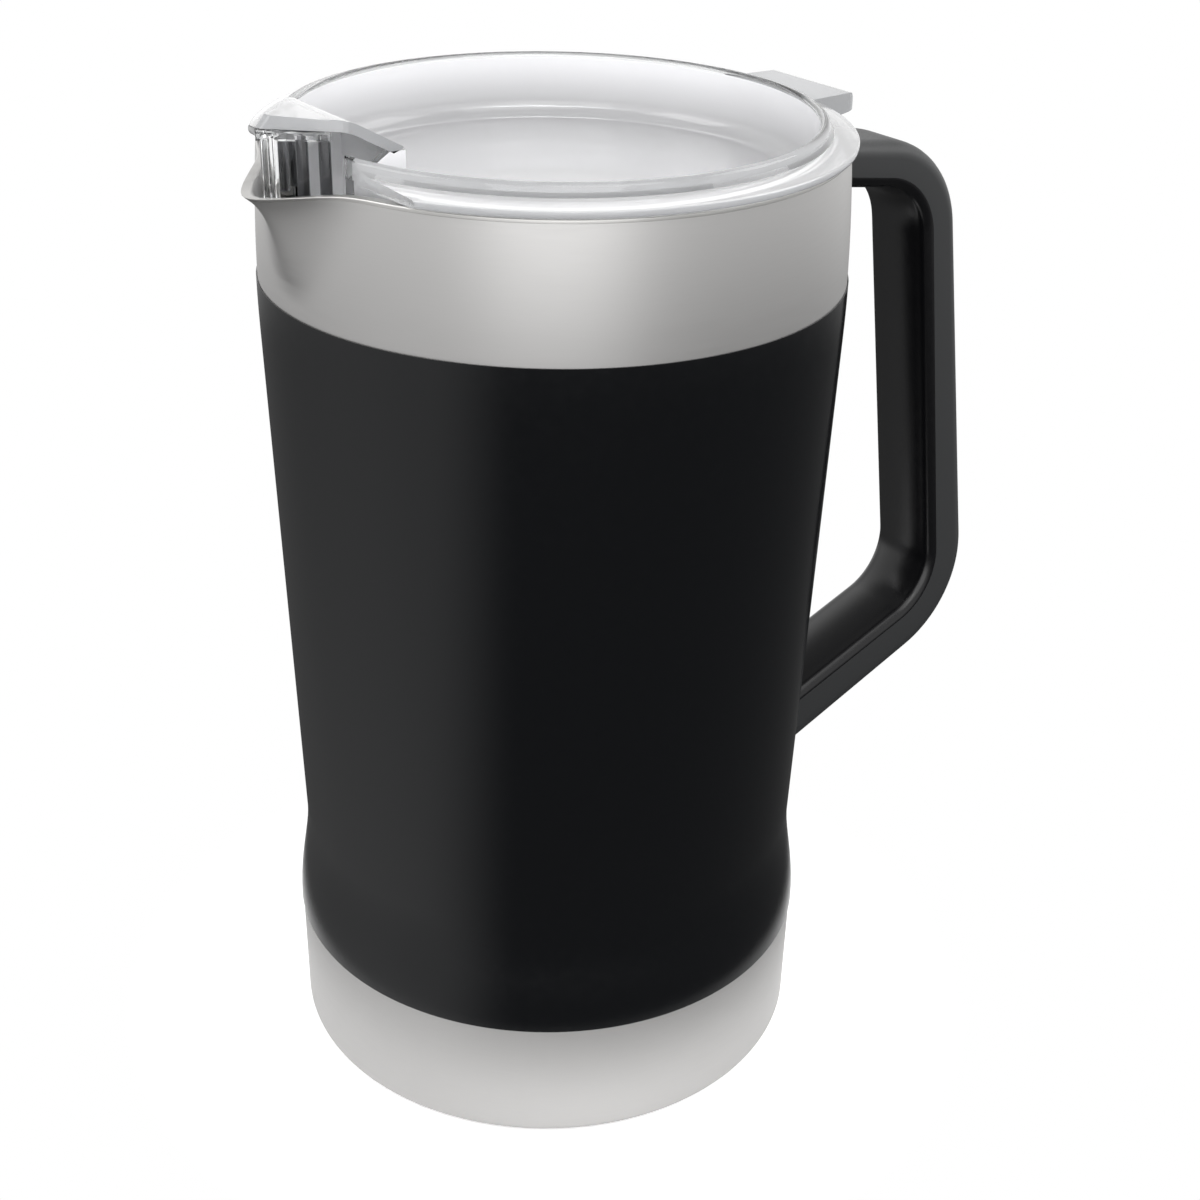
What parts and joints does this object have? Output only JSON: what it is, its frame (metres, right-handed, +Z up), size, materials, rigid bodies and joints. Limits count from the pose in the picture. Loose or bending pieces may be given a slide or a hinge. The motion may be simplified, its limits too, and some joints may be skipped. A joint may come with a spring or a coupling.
{
  "type": "thermal jug",
  "caption": "Double-walled steel thermal jug with a formed pouring spout, a clear lift-off lid with a hooded pour opening, and a bowed side handle that is bolted on.",
  "frame": {"origin": "on the jug's axis at the floor, under the centre of the base pad", "axes": "+Z up along the jug's axis, +X out towards the handle, -X out towards the spout"},
  "size_m": [0.2139, 0.1338, 0.2443],
  "materials": {
    "satin_steel": "satin brushed stainless steel",
    "inner_steel": "plain stainless steel",
    "black_coat": "gloss black coat",
    "black_grip": "matte black moulded plastic",
    "clear_plastic": "clear polished moulding",
    "silicone": "translucent silicone",
    "rubber": "matte black rubber",
    "screw_steel": "plain zinc-plated steel",
    "getter_metal": "sintered metal",
    "solder": "dull seal"
  },
  "bodies": {
    "jug": {"outer_shell": "satin_steel", "powder_coat": "black_coat", "inner_liner": "inner_steel", "liner_bottom": "inner_steel", "outer_bottom": "inner_steel", "seal_bead": "solder", "getter": "getter_metal", "getter_clip": "inner_steel", "base_pad": "rubber", "handle_spine": "black_grip", "handle_cover": "black_grip", "upper_bracket": "inner_steel", "lower_bracket": "inner_steel", "upper_screw_front": "screw_steel", "upper_screw_rear": "screw_steel", "lower_screw": "screw_steel"},
    "lid": {"lid_body": "clear_plastic", "ice_guard": "clear_plastic", "lid_gasket": "silicone"}
  },
  "joints": [
    {"name": "lid_lift", "type": "slide", "parent": "jug", "child": "lid", "axis": [0, 0, 1], "range_m": [0, 0.07]}
  ]
}
